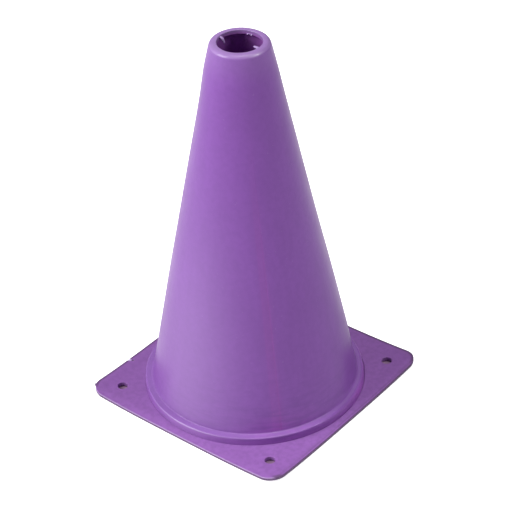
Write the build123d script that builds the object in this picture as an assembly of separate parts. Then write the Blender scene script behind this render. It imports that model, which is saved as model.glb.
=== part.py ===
from build123d import *
import math
import os

os.makedirs("parts", exist_ok=True)

# A sports marker cone in two pieces: a hollow cone with a shoulder ring at its foot, and the square
# base plate that the ring passes through. The origin is the middle of the plate's underside, on the
# ground, and +Z points up to the mouth. The plate's sides lie along X and Y.
# Lengths are in millimetres and angles in degrees.

# Driving sizes of the whole
cone_height = 228.6
base_side = 140.0
edge_margin = 5.0

# The base plate
base_thickness = 2.0
base_corner_radius = 9.8
base_arris_radius = 0.5
peg_hole_diameter = 6.0
peg_hole_inset = 14.3

# The cone's wall, its shoulder ring and the rounds between them
wall_thickness = 2.0
ledge_width = 4.1
ring_height = 4.9
ring_draft = 0.4
ring_arris_radius = 1.0
foot_fillet_radius = 1.8
inside_fillet_radius = 0.8

# The mouth, with a lip that turns inward
mouth_diameter = 24.2
rim_width = 4.1
rim_round_radius = 2.3
mouth_arris_radius = 0.5
lip_depth = 2.6

# The stubs of three of the four moulding gates, which hang under the lip; the fourth is cut flush
stub_angles = (0.0, 103.0, 192.0)
stub_reach_share = 0.25
stub_height = 1.4
stub_root_width = 1.8
stub_tip_width = 0.6

# The hidden joint under the plate: the ring's foot flange lies in a rebate
flange_width_share = 0.6
flange_thickness_share = 0.5
opening_clearance = 0.15
rebate_clearance = 0.25

# A round is no larger than this share of the narrowest face beside it
round_limit_share = 0.6
cut_overrun = 1.0

# Worked out from the sizes above
ring_foot_radius = base_side / 2 - edge_margin
ring_top_radius = ring_foot_radius - ring_draft
wall_foot_radius = ring_top_radius - ledge_width
mouth_radius = mouth_diameter / 2
wall_top_radius = mouth_radius + rim_width
ledge_level = base_thickness + ring_height
step_level = ledge_level - wall_thickness
lip_level = cone_height - lip_depth
flange_radius = ring_foot_radius + flange_width_share * edge_margin
flange_thickness = flange_thickness_share * base_thickness
wall_rise = cone_height - ledge_level
wall_run = wall_foot_radius - wall_top_radius
wall_width = wall_thickness * math.hypot(wall_rise, wall_run) / wall_rise


def outer_radius(level):
    """Radius of the conical wall's outer face at a height above the ground."""
    return wall_top_radius + wall_run * (cone_height - level) / wall_rise


def inner_radius(level):
    """Radius of the conical wall's inner face at a height above the ground."""
    return outer_radius(level) - wall_width


def rounded(section, corner, radius, *face_widths):
    """Round the section's corner nearest to a point, within what the faces beside it leave."""
    vertex = section.vertices().sort_by_distance((*corner, 0))[0]
    return fillet(vertex, min(radius, round_limit_share * min(face_widths)))


def cone_section():
    """Half section of the cone, as radius and height: up the outside and down the inside."""
    ring_arris = (ring_top_radius, ledge_level)
    wall_foot = (wall_foot_radius, ledge_level)
    rim_edge = (wall_top_radius, cone_height)
    mouth_edge = (mouth_radius, cone_height)
    lip_root = (inner_radius(lip_level), lip_level)
    step_edge = (inner_radius(step_level), step_level)
    step_root = (ring_top_radius - wall_thickness, step_level)
    outline = Polyline(
        (flange_radius, 0),
        (flange_radius, flange_thickness),
        (ring_foot_radius, flange_thickness),
        (ring_foot_radius, base_thickness),
        ring_arris,
        wall_foot,
        rim_edge,
        mouth_edge,
        (mouth_radius, lip_level),
        lip_root,
        step_edge,
        step_root,
        (ring_foot_radius - wall_thickness, 0),
        close=True,
    )
    lip_width = inner_radius(lip_level) - mouth_radius
    step_width = ring_top_radius - wall_thickness - inner_radius(step_level)
    section = make_face(outline)
    section = rounded(section, ring_arris, ring_arris_radius, ring_height, ledge_width)
    section = rounded(section, wall_foot, foot_fillet_radius, ledge_width)
    section = rounded(section, rim_edge, rim_round_radius, rim_width)
    section = rounded(section, mouth_edge, mouth_arris_radius, lip_depth, rim_width)
    section = rounded(section, lip_root, inside_fillet_radius, lip_width)
    section = rounded(section, step_edge, inside_fillet_radius, step_width)
    section = rounded(section, step_root, inside_fillet_radius, step_width, step_level)
    return section


def gate_stub(angle):
    """A tapered fin under the lip, cut off by hand short of the middle of the mouth."""
    tip_radius = mouth_radius * (1 - stub_reach_share)
    root_radius = inner_radius(lip_level) + wall_width / 2
    outline = Polyline(
        (tip_radius, -stub_tip_width / 2),
        (root_radius, -stub_root_width / 2),
        (root_radius, stub_root_width / 2),
        (tip_radius, stub_tip_width / 2),
        close=True,
    )
    fin = extrude(make_face(outline), stub_height)
    return Rot(0, 0, angle) * Pos(0, 0, lip_level - stub_height) * fin


def cone_shell():
    """The hollow cone with its lip, shoulder ring and foot flange, in one moulding."""
    shell = revolve(Plane.XZ * cone_section(), Axis.Z, 360)
    for angle in stub_angles:
        shell += gate_stub(angle)
    return shell


def base_plate():
    """The square plate with rounded corners, four peg holes and the seat for the cone's foot."""
    upright = (Align.CENTER, Align.CENTER, Align.MIN)
    plate = extrude(RectangleRounded(base_side, base_side, base_corner_radius), base_thickness)
    top_edges = plate.faces().sort_by(Axis.Z)[-1].edges()
    plate = fillet(top_edges, min(base_arris_radius, round_limit_share * base_thickness))
    cut_start = Pos(0, 0, -cut_overrun)
    through = base_thickness + 2 * cut_overrun
    rebate_cut = flange_thickness + cut_overrun
    plate -= cut_start * Cylinder(ring_foot_radius + opening_clearance, through, align=upright)
    plate -= cut_start * Cylinder(flange_radius + rebate_clearance, rebate_cut, align=upright)
    hole_spacing = base_side - 2 * peg_hole_inset
    for place in GridLocations(hole_spacing, hole_spacing, 2, 2):
        plate -= place * cut_start * Cylinder(peg_hole_diameter / 2, through, align=upright)
    return plate


nodes = {
    "cone_shell": cone_shell(),
    "base_plate": base_plate(),
}
for name, shape in nodes.items():
    shape.label = name
    print(name, len(shape.solids()), "solid,", round(shape.volume, 1), "cubic mm")
    export_step(shape, "parts/" + name + ".step")
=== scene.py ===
import math
import bmesh
import bpy
import numpy as np
from mathutils import Matrix, Vector


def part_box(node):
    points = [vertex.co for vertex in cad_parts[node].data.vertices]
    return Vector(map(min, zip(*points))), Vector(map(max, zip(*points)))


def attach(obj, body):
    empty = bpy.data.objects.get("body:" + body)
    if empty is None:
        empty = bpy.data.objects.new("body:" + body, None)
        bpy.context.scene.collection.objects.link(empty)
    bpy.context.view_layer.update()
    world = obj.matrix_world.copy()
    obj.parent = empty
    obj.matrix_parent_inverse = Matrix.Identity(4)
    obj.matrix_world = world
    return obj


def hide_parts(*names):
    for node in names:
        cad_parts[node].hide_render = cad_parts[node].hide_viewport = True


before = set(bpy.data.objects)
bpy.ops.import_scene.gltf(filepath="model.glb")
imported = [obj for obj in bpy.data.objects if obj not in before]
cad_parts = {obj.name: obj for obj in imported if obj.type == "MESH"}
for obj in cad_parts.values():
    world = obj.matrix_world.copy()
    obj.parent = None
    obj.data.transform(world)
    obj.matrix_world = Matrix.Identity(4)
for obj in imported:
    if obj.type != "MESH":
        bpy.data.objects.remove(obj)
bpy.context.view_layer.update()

# A sports marker cone, in metres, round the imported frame. The script follows the cone as it is put
# together: the hollow cone, the gate stubs left in its mouth, the plate that its foot passes through,
# and last the floor, the lamps and the camera.


# The cone
# One hollow moulding of soft purple polyethylene, filled through four gates in its mouth, with a faint
# knit line wherever two streams met. A thin flange under its shoulder ring holds it in the plate.
cone_low, cone_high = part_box("cone_shell")
plate_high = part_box("base_plate")[1]
ground = cone_low.z
summit = cone_high.z
plate_top = plate_high.z
half_side = plate_high.x

wall = 0.002
mouth_radius = 0.0121
rim_width = 0.0041
rim_round = 0.0029
mouth_arris = 0.0005
lip_arris = 0.0002
lip_depth = 0.0026
inside_round = 0.0008
ring_height = 0.00525
ring_draft = 0.00045
ring_arris = 0.0008
ledge_width = 0.00405
foot_round = 0.0008
flange_radius = cone_high.x
flange_depth = 0.001
edge_margin = 0.005
ring_radius = half_side - edge_margin

ledge = plate_top + ring_height
ring_top_radius = ring_radius - ring_draft
foot_radius = ring_top_radius - ledge_width
rim_radius = mouth_radius + rim_width
wall_slope = (foot_radius - rim_radius) / (summit - ledge)
wall_width = wall * math.hypot(1, wall_slope)


def outer_radius(level):
    """Radius of the wall's outer face: it shrinks evenly with height."""
    return rim_radius + wall_slope * (summit - level)


def rounded_outline(outline, spacing, arc_steps=8):
    """Points round a closed outline of straight sides, given as corners with a radius each. A corner with
    a radius becomes an arc tangent to its two sides, a corner of radius zero stays sharp, and a long side
    gets a point every spacing."""
    corners = np.array(outline, float)[:, :2]
    radii = np.array(outline, float)[:, 2]
    to_last = np.roll(corners, 1, axis=0) - corners
    to_next = np.roll(corners, -1, axis=0) - corners
    to_last /= np.linalg.norm(to_last, axis=1)[:, None]
    to_next /= np.linalg.norm(to_next, axis=1)[:, None]
    half_angle = np.arccos(np.clip((to_last * to_next).sum(1), -1, 1)) / 2
    setback = (radii / np.tan(half_angle))[:, None]
    starts = corners + to_last * setback
    ends = corners + to_next * setback
    middle = to_last + to_next
    middle /= np.maximum(np.linalg.norm(middle, axis=1), 1e-12)[:, None]
    centres = corners + middle * (radii / np.sin(half_angle))[:, None]
    pieces = []
    for i, radius in enumerate(radii):
        first = starts[i] - centres[i]
        last = ends[i] - centres[i]
        turn = math.atan2(first[0] * last[1] - first[1] * last[0], first @ last)
        steps = np.linspace(0, turn, arc_steps + 1)[:, None]
        sideways = np.array([-first[1], first[0]])
        arc = centres[i] + first * np.cos(steps) + sideways * np.sin(steps)
        arc = arc if radius > 0 else corners[i:i + 1]
        side = starts[(i + 1) % len(radii)] - arc[-1]
        count = max(1, math.ceil(np.linalg.norm(side) / spacing))
        pieces += [arc, arc[-1] + side * (np.arange(1, count) / count)[:, None]]
    return np.concatenate(pieces)


def grid_faces(rows, columns, closed_rows, closed_columns):
    """Corner numbers of the four-sided faces between the neighbouring rows and columns of a grid."""
    row = np.arange(rows if closed_rows else rows - 1)[:, None]
    column = np.arange(columns if closed_columns else columns - 1)[None, :]
    below = (row + 1) % rows
    beside = (column + 1) % columns
    near = [row * columns + column, row * columns + beside]
    far = [below * columns + beside, below * columns + column]
    corners = near + far
    return np.stack(np.broadcast_arrays(*corners), axis=-1).reshape(-1, 4)


def smoothstep(value, start, end):
    """0 before start, 1 after end, and an even S between them."""
    share = np.clip((value - start) / (end - start), 0, 1)
    return share * share * (3 - 2 * share)


def bell(away, width):
    """1 in the middle, falling off to both sides: the inverse exponential of (away / width) squared."""
    return np.exp(-(away / width) ** 2)


def turn_from(angle, middle):
    """The angle measured from middle, the shorter way round."""
    return (angle - middle + math.pi) % (2 * math.pi) - math.pi


merge_distance = 1e-6
sharp_angle = math.radians(35)


def solid_mesh(name, grids):
    """One closed mesh from grids of points: touching edges are merged and faces turned outward."""
    points, faces, first = [], [], 0
    for grid, closed_rows, closed_columns in grids:
        rows, columns = grid.shape[:2]
        points.append(grid.reshape(-1, 3))
        faces.append(grid_faces(rows, columns, closed_rows, closed_columns) + first)
        first += rows * columns
    mesh = bpy.data.meshes.new(name)
    mesh.from_pydata(np.concatenate(points).tolist(), [], np.concatenate(faces).tolist())
    work = bmesh.new()
    work.from_mesh(mesh)
    bmesh.ops.remove_doubles(work, verts=work.verts, dist=merge_distance)
    bmesh.ops.recalc_face_normals(work, faces=work.faces)
    work.to_mesh(mesh)
    work.free()
    mesh.polygons.foreach_set("use_smooth", np.ones(len(mesh.polygons), bool))
    mesh.set_sharp_from_angle(angle=sharp_angle)
    return mesh


def piece(name, mesh, material, replaced=None):
    """An object at the origin that rides on the part's one body."""
    thing = bpy.data.objects.new(name, mesh)
    bpy.context.scene.collection.objects.link(thing)
    mesh.materials.append(material)
    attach(thing, "root")
    if replaced:
        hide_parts(replaced)


def points_of(mesh):
    """The mesh's vertices as an array, one row each."""
    flat = np.empty(len(mesh.vertices) * 3)
    mesh.vertices.foreach_get("co", flat)
    return flat.reshape(-1, 3)


def paint(mesh, name, values):
    """A number on every vertex, which the material reads."""
    layer = mesh.attributes.new(name, "FLOAT", "POINT")
    layer.data.foreach_set("value", np.asarray(values, np.float32))


def linear(red, green, blue):
    """A colour as seen on a screen, 0 to 255, in the linear numbers that a shader takes."""
    return tuple(((c / 255 + 0.055) / 1.055) ** 2.4 for c in (red, green, blue)) + (1.0,)


# Painted light, for the inside of the wall, the ring's riser and the front of the foot
painted_light_colour = linear(186, 100, 206)
knit_colour = linear(176, 64, 150)
# Pale whitening for specks, torn and chipped plastic and wear, also used for painted sheen and highlights
whitening_and_highlight_colour = linear(182, 162, 200)
# Painted shade, for the plate's edges, its pit and its left, and for the rim's top
painted_shade_colour = linear(90, 68, 98)
dark_share = 0.93
light_share = 1.03
cloud_scale = 22
mottle_scale = 330
speck_scale = 650
peel_scale = 420
grain_scale = 1700
gloss_scale = 70
scuff_stretch = (70, 70, 420)
flow_tint = 0.3
painted_light_tint = 0.55
knit_tint = 0.15
speck_tint = 0.07
scuff_tint = 0.55
satin_roughness = (0.28, 0.35)
polished_share = 0.6
specular_level = 0.25
peel_depth = 0.0002
peel_strength = 0.25
grain_depth = 0.00005
grain_strength = 0.2


def polyethylene(name, purple, streaks, mottling):
    """Satin polyethylene: soft clouds of tone, flow streaks, mottling, fine grain and specks all over, and
    painted light, knit, scuffs, whitening, painted highlights, painted shade or polish where the piece is
    painted so. Purple is a colour on a screen, streaks is how the flow is squeezed along each axis."""
    polyethylene_purple = linear(*purple)
    polyethylene_dark = linear(*(dark_share * part for part in purple))
    polyethylene_light = linear(*(light_share * part for part in purple))
    material = bpy.data.materials.new(name)
    material.use_nodes = True
    nodes, links = material.node_tree.nodes, material.node_tree.links
    shader = nodes["Principled BSDF"]
    place = nodes.new("ShaderNodeTexCoord")

    def noise(scale, detail, stretch=(1, 1, 1)):
        """Noise in object coordinates, squeezed along each axis by stretch."""
        mapping = nodes.new("ShaderNodeMapping")
        mapping.inputs["Scale"].default_value = stretch
        links.new(place.outputs["Object"], mapping.inputs["Vector"])
        texture = nodes.new("ShaderNodeTexNoise")
        texture.inputs["Scale"].default_value = scale
        texture.inputs["Detail"].default_value = detail
        links.new(mapping.outputs["Vector"], texture.inputs["Vector"])
        return texture.outputs["Fac"]

    def ramp(source, low, high, to_low=0.0, to_high=1.0):
        """The source, spread so that low gives to_low and high gives to_high."""
        spread = nodes.new("ShaderNodeMapRange")
        spread.inputs["From Min"].default_value = low
        spread.inputs["From Max"].default_value = high
        spread.inputs["To Min"].default_value = to_low
        spread.inputs["To Max"].default_value = to_high
        links.new(source, spread.inputs["Value"])
        return spread.outputs["Result"]

    def blended(share, first, second):
        """A colour between two others; each is a colour or the output of another node."""
        mix = nodes.new("ShaderNodeMix")
        mix.data_type = "RGBA"
        links.new(share, mix.inputs["Factor"])
        for socket, source in ((mix.inputs["A"], first), (mix.inputs["B"], second)):
            if isinstance(source, tuple):
                socket.default_value = source
            else:
                links.new(source, socket)
        return mix.outputs["Result"]

    def painted(attribute):
        """A number that the piece carries on its vertices."""
        reader = nodes.new("ShaderNodeAttribute")
        reader.attribute_name = attribute
        return reader.outputs["Fac"]

    def product(first, second):
        """Two numbers multiplied; either may be a plain number."""
        times = nodes.new("ShaderNodeMath")
        times.operation = "MULTIPLY"
        for socket, source in zip(times.inputs, (first, second)):
            if isinstance(source, float):
                socket.default_value = source
            else:
                links.new(source, socket)
        return times.outputs["Value"]

    clouds = ramp(noise(cloud_scale, 3), 0.35, 0.65)
    flow = ramp(noise(1, 4, streaks), 0.3, 0.7)
    mottle = ramp(noise(mottle_scale, 2), 0.4, 0.65)
    grain = noise(grain_scale, 2)
    peel = noise(peel_scale, 2)
    scuffs = ramp(noise(1, 2, scuff_stretch), 0.45, 0.65)
    specks = ramp(noise(speck_scale, 1), 0.74, 0.78)
    tone = blended(clouds, polyethylene_purple, polyethylene_light)
    tone = blended(product(flow, flow_tint), tone, polyethylene_dark)
    tone = blended(product(mottle, mottling), tone, polyethylene_dark)
    # Painted light, the knit tint, specks and scuffs, then whitening with painted sheen and highlights, and
    # painted shade
    tone = blended(product(painted("painted_light"), painted_light_tint), tone, painted_light_colour)
    tone = blended(product(painted("knit"), knit_tint), tone, knit_colour)
    tone = blended(product(specks, speck_tint), tone, whitening_and_highlight_colour)
    tone = blended(product(product(scuffs, painted("scuffed")), scuff_tint), tone, polyethylene_dark)
    tone = blended(painted("whitening_and_highlight"), tone, whitening_and_highlight_colour)
    tone = blended(painted("painted_shade"), tone, painted_shade_colour)
    links.new(tone, shader.inputs["Base Color"])
    satin = ramp(noise(gloss_scale, 3), 0.3, 0.7, *satin_roughness)
    rough = product(satin, ramp(painted("polished"), 0, 1, 1, polished_share))
    links.new(rough, shader.inputs["Roughness"])
    shader.inputs["Specular IOR Level"].default_value = specular_level
    coarse = nodes.new("ShaderNodeBump")
    coarse.inputs["Strength"].default_value = peel_strength
    coarse.inputs["Distance"].default_value = peel_depth
    links.new(peel, coarse.inputs["Height"])
    fine = nodes.new("ShaderNodeBump")
    fine.inputs["Strength"].default_value = grain_strength
    fine.inputs["Distance"].default_value = grain_depth
    links.new(grain, fine.inputs["Height"])
    links.new(coarse.outputs["Normal"], fine.inputs["Normal"])
    links.new(fine.outputs["Normal"], shader.inputs["Normal"])
    return material


lip_level = summit - lip_depth
step_level = ledge - wall
lip_root_radius = outer_radius(lip_level) - wall_width
step_radius = outer_radius(step_level) - wall_width

# Extra rows on the riser, the ledge and the foot of the wall, where the ring's shape is softened
riser_shares = (0.2, 0.4, 0.6, 0.8)
ledge_shares = (0.3, 0.45, 0.6, 0.75)
foot_levels = (ledge + 0.001, ledge + 0.0018, ledge + 0.0027)
riser_rows = [
    (ring_radius - ring_draft * share, plate_top + ring_height * share, 0) for share in riser_shares
]
ledge_rows = [(ring_top_radius - ledge_width * share, ledge, 0) for share in ledge_shares]
foot_rows = [(outer_radius(level), level, 0) for level in foot_levels]

# Half section of the cone, as radius, height and round: up the outside and down the inside
cone_outline = [
    (flange_radius, ground, 0),
    (flange_radius, ground + flange_depth, 0),
    (ring_radius, ground + flange_depth, 0),
    (ring_radius, plate_top, 0),
    *riser_rows,
    (ring_top_radius, ledge, ring_arris),
    *ledge_rows,
    (foot_radius, ledge, foot_round),
    *foot_rows,
    (rim_radius, summit, rim_round),
    (mouth_radius, summit, mouth_arris),
    (mouth_radius, lip_level, lip_arris),
    (lip_root_radius, lip_level, inside_round),
    (step_radius, step_level, inside_round),
    (ring_top_radius - wall, step_level, inside_round),
    (ring_radius - wall, ground, 0),
]
row_spacing = 0.004
cone_section = rounded_outline(cone_outline, row_spacing)

# The knit lines lie about midway between the gates, and the mesh has more columns near each
knit_angles = np.radians([-36.5, 53.5, 143.5, 233.5])
knit_strengths = np.array([1.0, 0.6, 0.6, 0.15])
knit_width = math.radians(0.35)
knit_band = math.radians(3.2)
knit_thread = math.radians(0.6)
knit_groove = 0.00008
knit_ridge = 0.00004
knit_drift = -2.75
even_columns = 240
even_angles = np.linspace(0, 2 * math.pi, even_columns, endpoint=False)
knit_offsets = np.radians([-2.2, -1.6, -1.1, -0.8, -0.55, -0.35, -0.18])
knit_offsets = np.concatenate([knit_offsets, [0], -knit_offsets, np.radians([-4.4, -4, -3.6, -3])])
knit_columns = (knit_angles[:, None] + knit_offsets).ravel() % (2 * math.pi)
angles = np.unique(np.concatenate([even_angles, knit_columns]))


def knit_lean(level):
    """How far round the cone the knit lines have drifted at a height: more and more with the height."""
    return knit_drift * level ** 2


def knit_share(angle, level, middle, width):
    """How strong a line is that follows the knit lines a little to one side, falling off as a bell."""
    away = turn_from((angle - knit_lean(level))[..., None] - knit_angles, middle)
    return (knit_strengths * bell(away, width)).sum(-1)


slow_wave = 0.00012
middle_wave = 0.00008
quick_wave = 0.00004
wall_slack = 0.0001
belly_swell = 0.00028
belly_level = 0.078
belly_height = 0.03
neck_swell = 0.00041
neck_lean = 0.00022
neck_level = 0.2125
neck_height = 0.0135
lean_angle = math.radians(-140)
ring_drift = 0.0003
ring_drift_angle = math.radians(-155)
soft_angle = math.radians(38)
soft_spread = math.radians(60)
soft_reach = 0.0017
soft_arris = 0.00045
soft_foot = 0.0004


def slack(angle, level):
    """How far the soft wall strays from true: a few slow waves round and up the cone, a slight belly low
    down, and a slight swell of the neck that is stronger on one side."""
    rise = level / summit
    waves = slow_wave * np.sin(2 * angle + 0.6)
    waves = waves + middle_wave * np.sin(3 * angle - 1.1 + 7 * rise)
    waves = waves + quick_wave * np.sin(7 * angle + 11 * rise)
    belly = belly_swell * bell(level - belly_level, belly_height)
    neck = (neck_swell + neck_lean * np.cos(angle - lean_angle)) * bell(level - neck_level, neck_height)
    return (waves + belly + wall_slack) * smoothstep(level, 0.008, 0.04) + neck


def softening(angle, radius, level):
    """How far the ring's upper edge is rounded off, and its inner corner filled, on the side where the
    moulding is soft: each falls off as a bell with the distance from its corner."""
    worn = soft_arris * bell(np.hypot(radius - ring_top_radius, level - ledge), soft_reach)
    filled = soft_foot * bell(np.hypot(radius - foot_radius, level - ledge), soft_reach)
    soft_side = smoothstep(np.abs(turn_from(angle, soft_angle)), soft_spread, soft_spread / 2)
    return soft_side * smoothstep(level, plate_top, plate_top + 0.001) * (worn - filled)


def cone_surface():
    """The section carried round the axis: x is r cos a and y is r sin a, with r strayed a little. The
    columns drift round with the knit lines, and the ring sits a little to one side of the axis."""
    radius = cone_section[:, 0, None]
    level = np.broadcast_to(cone_section[:, 1, None], (len(cone_section), len(angles)))
    angle = angles + knit_lean(level)
    groove = knit_share(angle, level, 0, knit_width) * smoothstep(level, 0.2, 0.1)
    ridge = knit_share(angle, level, 2 * knit_width, knit_width) * smoothstep(level, 0.2, 0.1)
    outside = (radius > outer_radius(level) - wall_width / 4) & (level > ledge + foot_round)
    soft = softening(angle, radius, level)
    radius = radius - soft
    level = level - soft
    radius = radius + slack(angle, level)
    radius = radius + np.where(outside, knit_ridge * ridge - knit_groove * groove, 0)
    aside = ring_drift * smoothstep(level, plate_top, plate_top + 0.002) * smoothstep(level, 0.03, ledge)
    x = radius * np.cos(angle) + aside * math.cos(ring_drift_angle)
    y = radius * np.sin(angle) + aside * math.sin(ring_drift_angle)
    return np.stack([x, y, level], axis=-1)


# Painted sheen low on the lit side of the wall, a painted highlight along the ring's edge, painted light on
# the front of the foot, and a painted highlight on the rim. The angles are about +Z from +X.
sheen_strength = 0.21
sheen_angle = math.radians(-92)
sheen_width = math.radians(31)
sheen_level = 0.045
sheen_height = 0.085
arris_highlight_strength = 0.26
arris_highlight_angle = math.radians(-88)
arris_highlight_width = math.radians(18)
foot_light_strength = 0.35
foot_light_angle = math.radians(-38)
foot_light_width = math.radians(20)
foot_light_height = 0.015
rim_glint_strength = 0.45
rim_glint_angle = math.radians(-18)
rim_glint_width = math.radians(13)
rim_glint_level = summit - 0.0011
rim_glint_height = 0.0006

# How strongly they are painted: the rim with wear and a painted highlight, the neck paler, the ring's ledge
# and riser with painted light, its edge with a painted highlight, and the rim's top with painted shade
rim_strength = 0.24
rim_highlight_lean = 0.03
neck_strength = 0.1
neck_fade = 0.02
ledge_light_strength = 0.15
arris_highlight_base = 0.06
riser_light_strength = 0.25
soft_riser_light_strength = 0.7
rim_top_shade = 0.11

cone_mesh = solid_mesh("cone_wall", [(cone_surface(), True, True)])
cone_points = points_of(cone_mesh)
cone_angle = np.arctan2(cone_points[:, 1], cone_points[:, 0])
cone_level = cone_points[:, 2]

# The knit lines: a wide faint band to one side and two threads, all fading out towards the neck
knit_fade = smoothstep(cone_level, 0.2, 0.09) * smoothstep(cone_level, ledge, ledge + 0.002)
band_strength = 0.55
band_aside = -3 * knit_thread
thread_strength = 0.5
second_strength = 0.3
second_aside = -6.9 * knit_thread
knit = band_strength * knit_share(cone_angle, cone_level, band_aside, knit_band)
knit += thread_strength * knit_share(cone_angle, cone_level, 0, knit_thread)
knit += second_strength * knit_share(cone_angle, cone_level, second_aside, knit_thread)
paint(cone_mesh, "knit", knit * knit_fade)
paint(cone_mesh, "scuffed", smoothstep(cone_level, 0.06, 0.008))

# The rim and the ring's top are rubbed smooth
rim_shine = smoothstep(cone_level, summit - 0.8 * rim_round, summit - 0.5 * rim_round)
ring_shine = smoothstep(cone_level, ledge - ring_arris, ledge - 0.7 * ring_arris)
ring_shine = ring_shine * smoothstep(cone_level, ledge + foot_round, ledge + 0.2 * foot_round)
paint(cone_mesh, "polished", np.maximum(rim_shine, 0.8 * ring_shine))

# Paler: painted sheen on one side of the wall, wear and painted highlights on the rim, the neck towards the
# rim, and painted light and a painted highlight on the ring's top
on_ledge = smoothstep(cone_level, ledge - 0.0002, ledge - 0.00005)
on_ledge = on_ledge * smoothstep(cone_level, ledge + 0.0012, ledge + 0.0002)
# Painted sheen on the lit side of the wall, kept off the ledge
painted_sheen = bell(turn_from(cone_angle, sheen_angle), sheen_width) * bell(cone_level - sheen_level, sheen_height)
painted_sheen = sheen_strength * painted_sheen * (1 - on_ledge)
arris_highlight = arris_highlight_strength * bell(cone_angle - arris_highlight_angle, arris_highlight_width)
# Painted light on the ring's ledge, and a painted highlight along its upper edge, strongest on the lit side
ring_painted_light = ring_shine * (ledge_light_strength * on_ledge + (arris_highlight_base + arris_highlight) * (1 - on_ledge))
# Wear and a painted highlight on the rim's round, with the highlight stronger on the lit side
rim_wear_and_highlight = smoothstep(cone_level, summit - 0.8 * rim_round, summit - 0.3 * rim_round)
rim_wear_and_highlight = rim_wear_and_highlight * (rim_strength + rim_highlight_lean * np.cos(cone_angle - lean_angle))
# A painted highlight on the front right of the rim's round
rim_glint = bell(cone_angle - rim_glint_angle, rim_glint_width) * bell(cone_level - rim_glint_level, rim_glint_height)
neck_pale = neck_strength * smoothstep(cone_level, summit - neck_fade, summit - 0.1 * neck_fade)
paint(cone_mesh, "whitening_and_highlight", painted_sheen + rim_wear_and_highlight + rim_glint_strength * rim_glint + neck_pale + ring_painted_light)
# Painted shade on the rim's top face
rim_top = smoothstep(cone_level, summit - 0.35 * rim_round, summit - 0.1 * rim_round)
paint(cone_mesh, "painted_shade", rim_top_shade * rim_top)

# Painted light, in a lighter and warmer purple: on the inside of the wall, on the ring's riser, most of all
# where it is soft, and on the front of the foot
inside_painted_light = np.hypot(cone_points[:, 0], cone_points[:, 1]) < outer_radius(cone_level) - wall_width / 2
inside_painted_light = inside_painted_light * smoothstep(cone_level, summit - mouth_arris, summit - lip_depth)
riser = smoothstep(cone_level, plate_top - 0.0001, plate_top)
riser = riser * smoothstep(cone_level, ledge, ledge - 2 * ring_arris)
soft_side = smoothstep(np.abs(turn_from(cone_angle, soft_angle)), 0.75 * soft_spread, 0.35 * soft_spread)
riser_painted_light = riser * (riser_light_strength + (soft_riser_light_strength - riser_light_strength) * soft_side)
foot_painted_light = foot_light_strength * bell(cone_angle - foot_light_angle, foot_light_width)
foot_painted_light = foot_painted_light * smoothstep(cone_level, ledge - ring_arris, ledge)
foot_painted_light = foot_painted_light * smoothstep(cone_level, ledge + foot_light_height, ledge + 0.001)
paint(cone_mesh, "painted_light", np.maximum(inside_painted_light, np.maximum(riser_painted_light, foot_painted_light)))
cone_purple = (126, 76, 159)
cone_streaks = (180, 180, 9)
cone_mottling = 0.3
cone_finish = polyethylene("cone_polyethylene", cone_purple, cone_streaks, cone_mottling)
piece("cone_wall", cone_mesh, cone_finish, "cone_shell")


# The gate stubs
# Four gates fed the mould through the lip and were cut off by hand. The front one is flush, the right one
# left a level stub, the left one a stub that bent down, and the back one a scar between two small burrs.
stub_sides = 16
stub_rows = 17
torn_white = 0.5


def stub_surface(angle, radii, levels, widths, depths):
    """A tapered tongue: an oval carried along a bent line that runs inward from the lip, in an upright
    plane through the axis. At each point of the line the oval's width lies across that plane and its
    depth lies in it, square to the line. Each list has one value for each oval, from root to tip."""
    line = np.stack([radii, levels], axis=-1)
    along = np.gradient(line, axis=0)
    along /= np.linalg.norm(along, axis=1)[:, None]
    around = np.linspace(0, 2 * math.pi, stub_sides, endpoint=False)[None, :]
    across = np.array(widths)[:, None] / 2 * np.cos(around)
    within = np.array(depths)[:, None] / 2 * np.sin(around)
    radius = line[:, :1] - along[:, 1:] * within
    level = line[:, 1:] + along[:, :1] * within
    x = radius * math.cos(angle) - across * math.sin(angle)
    y = radius * math.sin(angle) + across * math.cos(angle)
    return np.stack([x, y, level], axis=-1)


def smooth_line(values):
    """The values with more between them, on a cubic curve that passes through each one."""
    steps = np.linspace(0, len(values) - 1, stub_rows)
    slopes = np.gradient(np.array(values, float))
    first = np.minimum(steps.astype(int), len(values) - 2)
    t = steps - first
    start, end = np.array(values)[first], np.array(values)[first + 1]
    rise, fall = slopes[first], slopes[first + 1]
    values_part = (2 * t ** 3 - 3 * t ** 2 + 1) * start + (3 * t ** 2 - 2 * t ** 3) * end
    slopes_part = (t ** 3 - 2 * t ** 2 + t) * rise + (t ** 3 - t ** 2) * fall
    return values_part + slopes_part


def stub(name, degrees, radii, drops, widths, depths):
    """One stub as a closed piece of the cone's own plastic, whitened where it was torn. Drops are its
    depths below the rim. Its last part is rounded off by a tip factor, the root of one minus the fourth
    power of the share of the way along it."""
    share = np.linspace(-1.6, 1, stub_rows).clip(0)
    tip = np.sqrt(np.clip(1 - share ** 4, 0.0001, 1))
    levels = summit - smooth_line(drops)
    widths = smooth_line(widths) * tip
    depths = smooth_line(depths) * tip
    surface = stub_surface(math.radians(degrees), smooth_line(radii), levels, widths, depths)
    root = np.repeat(surface[:1].mean(1, keepdims=True), stub_sides, axis=1)
    point = np.repeat(surface[-1:].mean(1, keepdims=True), stub_sides, axis=1)
    mesh = solid_mesh(name, [(np.concatenate([root, surface, point]), False, True)])
    paint(mesh, "whitening_and_highlight", np.full(len(mesh.vertices), torn_white))
    piece(name, mesh, cone_finish)


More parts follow.
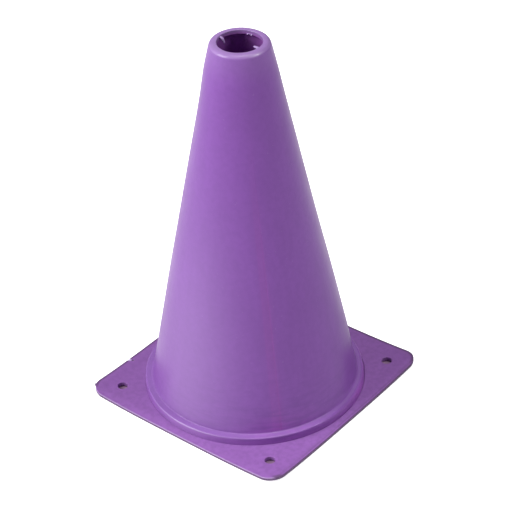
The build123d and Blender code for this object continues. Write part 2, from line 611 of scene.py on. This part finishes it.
stub(
    "gate_stub_level", 6,
    radii=[0.0130, 0.0118, 0.0104, 0.0087],
    drops=[0.0014, 0.0012, 0.0010, 0.0007],
    widths=[0.0028, 0.0021, 0.0017, 0.0014],
    depths=[0.0014, 0.0014, 0.0013, 0.0011],
)
stub(
    "gate_stub_bent", 186,
    radii=[0.0131, 0.0121, 0.0111, 0.0105, 0.0101, 0.0098],
    drops=[0.0009, 0.0011, 0.0017, 0.0027, 0.0036, 0.0048],
    widths=[0.0012, 0.0016, 0.0018, 0.0014, 0.0010, 0.0006],
    depths=[0.0010, 0.0012, 0.0014, 0.0012, 0.0009, 0.0006],
)
stub(
    "gate_scar", 104,
    radii=[0.0129, 0.0123, 0.0118],
    drops=[0.0021, 0.0021, 0.0021],
    widths=[0.0040, 0.0038, 0.0030],
    depths=[0.0008, 0.0007, 0.0005],
)
stub(
    "gate_burr_left", 109,
    radii=[0.0128, 0.0120, 0.0112],
    drops=[0.0021, 0.0022, 0.0024],
    widths=[0.0012, 0.0010, 0.0006],
    depths=[0.0009, 0.0008, 0.0005],
)
stub(
    "gate_burr_right", 97,
    radii=[0.0128, 0.0120, 0.0110],
    drops=[0.0021, 0.0022, 0.0024],
    widths=[0.0014, 0.0011, 0.0006],
    depths=[0.0010, 0.0009, 0.0005],
)


# The base plate
# A square plate of the same plastic, with rounded corners and a peg hole near each. Its round opening
# holds the cone's foot. Its corners curl up a little, and its edge keeps the nick of a trimmed gate.
corner_round = 0.0098
hole_inset = 0.0143
hole_offset = half_side - hole_inset
hole_radius = 0.003
hole_arris = 0.0003
opening_clearance = 0.00003
opening_radius = ring_radius + opening_clearance
rebate_clearance = 0.00025
rebate_radius = flange_radius + rebate_clearance
top_arris = 0.0005
bottom_arris = 0.0003
corner_reach = math.radians(14)
corner_curl = 0.00135
front_curl = 0.0004
back_curl = 0.0008
edge_curl_start = 0.06
curl_area = half_side * 0.06
belly_rise = 0.0006
belly_start = 0.0645
belly_end = 0.0698
nick_place = (-half_side, -0.0352)
nick_depth = 0.0004
nick_width = 0.0009
nick_reach = 0.003
chip_place = (-half_side + 0.0012, -0.035)
pit_place = (-half_side + 0.0029, -0.034)
pit_radius = 0.0007
pit_depth = 0.0008
pit_floor = 0.0009
nib_place = (-half_side + 0.0013, -0.0651)
nib_length = 0.0009
nib_radius = 0.0006

# The mesh is made of nine patches, turned to each corner and side. More columns lie near the nick, and
# the rows crowd towards the plate's edge.
corner_columns = 29
side_columns = 61
nick_columns = 33
strip_rows = 25
strip_crowding = 1.7
corner_rows = 17
corner_crowding = 1.1
straight_points = 12
round_points = 19
arris_points = 6
first_angle = math.pi / 4 - corner_reach
corner_angles = np.linspace(math.pi / 2 - first_angle, first_angle, corner_columns)
side_angles = np.linspace(-first_angle, first_angle, side_columns)
nick_angle = math.atan2(-nick_place[1], -nick_place[0])
nick_angles = nick_angle + np.linspace(-0.045, 0.035, nick_columns)
side_angles = np.unique(np.concatenate([side_angles, nick_angles]))
radial_share = 1 - (1 - np.linspace(0, 1, strip_rows)) ** strip_crowding


def corner_outline():
    """The plate's edge round one corner, and its outward directions: a side, a quarter circle, a side."""
    start = half_side * math.tan(first_angle)
    run = np.linspace(start, half_side - corner_round, straight_points)[:-1]
    turn = np.linspace(0, math.pi / 2, round_points)
    centre = half_side - corner_round
    arc = np.stack([centre + corner_round * np.cos(turn), centre + corner_round * np.sin(turn)], axis=-1)
    first = np.stack([np.full(len(run), half_side), run], axis=-1)
    last = first[::-1, ::-1]
    first_outward = np.tile([1.0, 0.0], (len(run), 1))
    arc_outward = np.stack([np.cos(turn), np.sin(turn)], axis=-1)
    last_outward = np.tile([0.0, 1.0], (len(run), 1))
    outward = np.concatenate([first_outward, arc_outward, last_outward])
    return np.concatenate([first, arc, last]), outward


def side_outline():
    """The plate's edge along one side, between two corners, and its outward directions."""
    edge = np.stack([np.full(len(side_angles), half_side), half_side * np.tan(side_angles)], axis=-1)
    return edge, np.tile([1.0, 0.0], (len(side_angles), 1))


def circle_points(radius, turn):
    """Points on a circle round the plate's middle."""
    return radius * np.stack([np.cos(turn), np.sin(turn)], axis=-1)


def corner_loop(inner_radius, inset):
    """The edge of a corner patch, in order: along the outline, in, round the opening, and out."""
    outline, outward = corner_outline()
    outline = outline - inset * outward
    inner = circle_points(inner_radius, corner_angles)
    inward = outline[-1] + (inner[0] - outline[-1]) * (1 - radial_share[::-1])[1:-1, None]
    back = inner[-1] + (outline[0] - inner[-1]) * radial_share[1:-1, None]
    return np.concatenate([outline, inward, inner, back])


hole_middle = np.array([hole_offset, hole_offset])
from_hole = corner_loop(opening_radius, 0) - hole_middle
hole_directions = from_hole / np.linalg.norm(from_hole, axis=1)[:, None]


def corner_sheet(inner_radius, inset, hole, level):
    """A flat corner with a round hole: each ray from the hole's edge to the patch's edge is a column."""
    ring = hole_middle + hole * hole_directions
    loop = corner_loop(inner_radius, inset)
    share = (np.linspace(0, 1, corner_rows) ** corner_crowding)[:, None, None]
    flat = ring + (loop - ring) * share
    return np.concatenate([flat, np.full(flat.shape[:2] + (1,), level)], axis=-1)


def side_sheet(inner_radius, inset, level):
    """A flat strip beside the opening: each ray from the opening to the plate's edge is a column."""
    edge, outward = side_outline()
    edge = edge - inset * outward
    inner = circle_points(inner_radius, side_angles)
    flat = inner + (edge - inner) * radial_share[:, None, None]
    return np.concatenate([flat, np.full(flat.shape[:2] + (1,), level)], axis=-1)


def arris_profile(top, bottom):
    """How far in, and how high, the plate's edge is from its top face to its bottom face."""
    turn = np.linspace(0, math.pi / 2, arris_points)
    over = np.stack([top * (1 - np.sin(turn)), plate_top - top * (1 - np.cos(turn))], axis=-1)
    under = np.stack([bottom * (1 - np.cos(turn)), ground + bottom * (1 - np.sin(turn))], axis=-1)
    return np.concatenate([over, under])


def edge_wall(outline, outward):
    """The plate's outer edge: the rounded profile carried along its outline."""
    profile = arris_profile(top_arris, bottom_arris)
    flat = outline - profile[:, 0, None, None] * outward
    return np.concatenate([flat, np.broadcast_to(profile[:, 1, None, None], flat.shape[:2] + (1,))], axis=-1)


def hole_wall():
    """The wall of a peg hole, rounded at both ends, with its columns where the corner's are."""
    profile = arris_profile(hole_arris, hole_arris)
    flat = hole_middle + (hole_radius + profile[:, 0, None, None]) * hole_directions
    return np.concatenate([flat, np.broadcast_to(profile[:, 1, None, None], flat.shape[:2] + (1,))], axis=-1)


def opening_wall(turn):
    """The opening's wall: down from the top face, out over the flange, and down to the ground."""
    seat = ground + flange_depth
    profile = [
        (opening_radius, plate_top),
        (opening_radius, seat),
        (rebate_radius, seat),
        (rebate_radius, ground),
    ]
    rings = []
    for radius, level in profile:
        rings.append(np.column_stack([circle_points(radius, turn), np.full(len(turn), level)]))
    return np.stack(rings)


def quarter_turn(grid, turns):
    """The grid turned by whole quarter turns about the plate's middle."""
    cosine = round(math.cos(turns * math.pi / 2))
    sine = round(math.sin(turns * math.pi / 2))
    x, y, z = np.moveaxis(grid, -1, 0)
    return np.stack([cosine * x - sine * y, sine * x + cosine * y, z], axis=-1)


def plate_lift(x, y):
    """How far the plate has come off the ground: its corners curl up with the cube of x times y over the
    curl area, and three of its edges a little less."""
    lift = corner_curl * np.abs(x * y / curl_area) ** 3
    for outward, curl in ((x, front_curl), (-x, back_curl), (y, back_curl)):
        lift = lift + curl * smoothstep(outward, edge_curl_start, half_side)
    return lift


def plate_wear(points):
    """The plate's own shape: curled at its edges and swollen towards the ring. It has a nick trimmed in
    one edge, a pit beside the nick, and a nib of flash on the corner near it."""
    x, y, z = np.moveaxis(points, -1, 0)
    lift = plate_lift(x, y)
    inner = smoothstep(np.abs(x), belly_end, belly_start) * smoothstep(np.abs(y), belly_end, belly_start)
    lift = lift + belly_rise * inner * (z - ground) / (plate_top - ground)
    bite = bell(y - nick_place[1], nick_width)
    bite = bite * smoothstep(x, nick_place[0] + nick_reach, nick_place[0])
    pit = bell(x - pit_place[0], pit_radius) * bell(y - pit_place[1], pit_radius)
    sink = pit_depth * pit * smoothstep(z, ground + pit_floor, plate_top)
    nib = bell(x - nib_place[0], nib_radius) * bell(y - nib_place[1], nib_radius)
    return np.stack([x + nick_depth * bite - nib_length * nib, y, z + lift - sink], axis=-1)


quarter = [
    (corner_sheet(opening_radius, top_arris, hole_radius + hole_arris, plate_top), True),
    (corner_sheet(rebate_radius, bottom_arris, hole_radius + hole_arris, ground), True),
    (hole_wall(), True),
    (edge_wall(*corner_outline()), False),
    (opening_wall(corner_angles), False),
    (side_sheet(opening_radius, top_arris, plate_top), False),
    (side_sheet(rebate_radius, bottom_arris, ground), False),
    (edge_wall(*side_outline()), False),
    (opening_wall(side_angles), False),
]
plate_grids = []
for turns in range(4):
    for grid, closed in quarter:
        plate_grids.append((plate_wear(quarter_turn(grid, turns)), False, closed))
plate_mesh = solid_mesh("plate", plate_grids)
plate_points = points_of(plate_mesh)
plate_x, plate_y, plate_z = plate_points.T


def distance_from(place):
    """How far each of the plate's points is from a place, seen from above."""
    return np.hypot(plate_x - place[0], plate_y - place[1])


# How far each point is in from the plate's edge, on its sides and round its corners
corner_centre = half_side - corner_round
past_corner = np.maximum(np.abs(plate_points[:, :2]) - corner_centre, 0)
edge_distance = corner_round - np.linalg.norm(past_corner, axis=1)
edge_level = plate_z - plate_lift(plate_x, plate_y)
low_on_edge = smoothstep(edge_level, plate_top - 0.0002, plate_top - 0.0006)
front_left = smoothstep(plate_y, -half_side + 0.0045, -half_side + 0.0025)
front_right = smoothstep(plate_x, half_side - 0.002, half_side - 0.0005)

# Painted shade along the edges and their lower sides, less of it on the front ones, in the pit, and over
# the left of the plate
edge_shade = 0.8
pit_shade = 0.9
left_shade = 0.12
edge_shade_reach = 0.0024 - 0.0018 * front_right
painted_shade = edge_shade * smoothstep(edge_distance, edge_shade_reach, 0.4 * edge_shade_reach)
painted_shade = painted_shade * np.maximum(1 - front_left, low_on_edge)
painted_shade = np.maximum(painted_shade, pit_shade * smoothstep(distance_from(pit_place), 0.0011, 0.0004))
painted_shade = np.maximum(painted_shade, left_shade * smoothstep(plate_x, -0.025, -0.05))

# Paler: a painted highlight along the upper edge at the front left, and the chip beside the nick, which is
# whitened and has no painted shade
front_edge_highlight_share = 0.55
chip = smoothstep(distance_from(chip_place), 0.0014, 0.0009)
front_edge_highlight = front_edge_highlight_share * front_left * smoothstep(edge_distance, 0.0005, 0.0002) * (1 - low_on_edge)
plate_scuffing = 0.2
paint(plate_mesh, "scuffed", np.full(len(plate_points), plate_scuffing))
paint(plate_mesh, "whitening_and_highlight", np.maximum(front_edge_highlight, chip))
paint(plate_mesh, "painted_shade", painted_shade * (1 - chip))
plate_purple = (138, 93, 163)
plate_streaks = (90, 90, 90)
plate_mottling = 0.75
plate_finish = polyethylene("plate_polyethylene", plate_purple, plate_streaks, plate_mottling)
piece("plate", plate_mesh, plate_finish, "base_plate")


# The floor
# A plain white studio floor. To the camera it is nearly white and keeps the cone's soft shadow. Under
# the plate it is painted shade, a greyish brown ground seen through the peg holes.
floor_size = 6.0
floor_colour = (0.8, 0.8, 0.8, 1.0)
floor_glow = 0.85
under_plate_shade_colour = linear(142, 112, 142)
under_plate_shade_reach = half_side - 0.008

floor_reach = floor_size / 2
floor_corners = [
    (-floor_reach, -floor_reach, ground),
    (floor_reach, -floor_reach, ground),
    (floor_reach, floor_reach, ground),
    (-floor_reach, floor_reach, ground),
]
floor_mesh = bpy.data.meshes.new("studio_floor")
floor_mesh.from_pydata(floor_corners, [], [(0, 1, 2, 3)])
floor = bpy.data.objects.new("studio_floor", floor_mesh)
bpy.context.scene.collection.objects.link(floor)

floor_finish = bpy.data.materials.new("studio_floor")
floor_finish.use_nodes = True
floor_nodes, floor_links = floor_finish.node_tree.nodes, floor_finish.node_tree.links
floor_shader = floor_nodes["Principled BSDF"]
floor_shader.inputs["Base Color"].default_value = floor_colour
floor_shader.inputs["Roughness"].default_value = 0.9
floor_shader.inputs["Specular IOR Level"].default_value = 0.0
under_plate_shade_shader = floor_nodes.new("ShaderNodeBsdfDiffuse")
under_plate_shade_shader.inputs["Color"].default_value = under_plate_shade_colour

# The open floor is farther from the middle, along X or Y, than the reach of the painted shade under the
# plate
place = floor_nodes.new("ShaderNodeTexCoord")
mirrored = floor_nodes.new("ShaderNodeVectorMath")
mirrored.operation = "ABSOLUTE"
sides = floor_nodes.new("ShaderNodeSeparateXYZ")
farther = floor_nodes.new("ShaderNodeMath")
farther.operation = "MAXIMUM"
open_floor = floor_nodes.new("ShaderNodeMath")
open_floor.operation = "GREATER_THAN"
open_floor.inputs[1].default_value = under_plate_shade_reach
under = floor_nodes.new("ShaderNodeMixShader")
floor_links.new(place.outputs["Object"], mirrored.inputs[0])
floor_links.new(mirrored.outputs["Vector"], sides.inputs["Vector"])
floor_links.new(sides.outputs["X"], farther.inputs[0])
floor_links.new(sides.outputs["Y"], farther.inputs[1])
floor_links.new(farther.outputs["Value"], open_floor.inputs[0])
floor_links.new(open_floor.outputs["Value"], under.inputs["Fac"])
floor_links.new(under_plate_shade_shader.outputs["BSDF"], under.inputs[1])
floor_links.new(floor_shader.outputs["BSDF"], under.inputs[2])

# Only what the camera sees of the open floor glows up to white, so it throws no light on the cone
glow = floor_nodes.new("ShaderNodeEmission")
glow.inputs["Strength"].default_value = floor_glow
lit = floor_nodes.new("ShaderNodeAddShader")
seen = floor_nodes.new("ShaderNodeLightPath")
both = floor_nodes.new("ShaderNodeMath")
both.operation = "MULTIPLY"
choose = floor_nodes.new("ShaderNodeMixShader")
floor_links.new(floor_shader.outputs["BSDF"], lit.inputs[0])
floor_links.new(glow.outputs["Emission"], lit.inputs[1])
floor_links.new(open_floor.outputs["Value"], both.inputs[0])
floor_links.new(seen.outputs["Is Camera Ray"], both.inputs[1])
floor_links.new(both.outputs["Value"], choose.inputs["Fac"])
floor_links.new(under.outputs["Shader"], choose.inputs[1])
floor_links.new(lit.outputs["Shader"], choose.inputs[2])
floor_links.new(choose.outputs["Shader"], floor_nodes["Material Output"].inputs["Surface"])
floor_mesh.materials.append(floor_finish)


# The light
# A large soft lamp on the camera's left, a weak low one farther round, a smaller one on the right, one
# overhead, and a dim white room round them that the camera sees as white.
room_strength = 0.14
backdrop_strength = 1.0
room = bpy.context.scene.world or bpy.data.worlds.new("room")
bpy.context.scene.world = room
room.use_nodes = True
room_nodes, room_links = room.node_tree.nodes, room.node_tree.links
room_nodes.clear()
ambient = room_nodes.new("ShaderNodeBackground")
ambient.inputs["Color"].default_value = (1, 1, 1, 1)
ambient.inputs["Strength"].default_value = room_strength
backdrop = room_nodes.new("ShaderNodeBackground")
backdrop.inputs["Color"].default_value = (1, 1, 1, 1)
backdrop.inputs["Strength"].default_value = backdrop_strength
room_seen = room_nodes.new("ShaderNodeLightPath")
room_choose = room_nodes.new("ShaderNodeMixShader")
room_out = room_nodes.new("ShaderNodeOutputWorld")
room_links.new(room_seen.outputs["Is Camera Ray"], room_choose.inputs["Fac"])
room_links.new(ambient.outputs["Background"], room_choose.inputs[1])
room_links.new(backdrop.outputs["Background"], room_choose.inputs[2])
room_links.new(room_choose.outputs["Shader"], room_out.inputs["Surface"])

lamp_aim = Vector((0, 0, 0.1))
lamp_distance = 3.2
large_lamp = 1.8
small_lamp = 0.6


def soft_lamp(name, bearing, height, size, power):
    """A square soft lamp aimed at the cone. Bearing is in degrees about +Z from +X, and height in degrees
    above the floor: x is cos b cos h, y is sin b cos h and z is sin h, times the distance."""
    lamp_data = bpy.data.lights.new(name, "AREA")
    lamp_data.shape = "SQUARE"
    lamp_data.size = size
    lamp_data.energy = power
    lamp = bpy.data.objects.new(name, lamp_data)
    bpy.context.scene.collection.objects.link(lamp)
    turn = math.radians(bearing)
    rise = math.radians(height)
    way = Vector((math.cos(turn) * math.cos(rise), math.sin(turn) * math.cos(rise), math.sin(rise)))
    lamp.location = lamp_aim + way * lamp_distance
    lamp.rotation_euler = way.to_track_quat("Z", "Y").to_euler()


soft_lamp("key_lamp", -124.5, 37, large_lamp, 102)
soft_lamp("low_lamp", -150, 15, large_lamp, 19)
soft_lamp("right_lamp", 20, 40, small_lamp, 26)
soft_lamp("top_lamp", 0, 85, large_lamp, 59)


# The camera
# It stands where the photograph was taken from, above the front corner of the plate and well back, with
# a long lens, and is tilted a little.
eye = Vector((0.6133, -0.7140, 0.7608))
aim = Vector((0.00228, 0.00194, 0.08908))
tilt = math.radians(2.6)
lens = 143.4
sensor_width = 36.0
near_clip = 0.01
forward = (aim - eye).normalized()
level_right = forward.cross(Vector((0, 0, 1))).normalized()
level_down = forward.cross(level_right)
right = math.cos(tilt) * level_right + math.sin(tilt) * level_down
up = right.cross(forward)
camera_data = bpy.data.cameras.new("camera")
camera_data.lens = lens
camera_data.sensor_width = sensor_width
camera_data.clip_start = near_clip
camera = bpy.data.objects.new("camera", camera_data)
bpy.context.scene.collection.objects.link(camera)
camera.matrix_world = Matrix.Translation(eye) @ Matrix((right, up, -forward)).transposed().to_4x4()
bpy.context.scene.camera = camera
bpy.context.scene.view_settings.view_transform = "Standard"
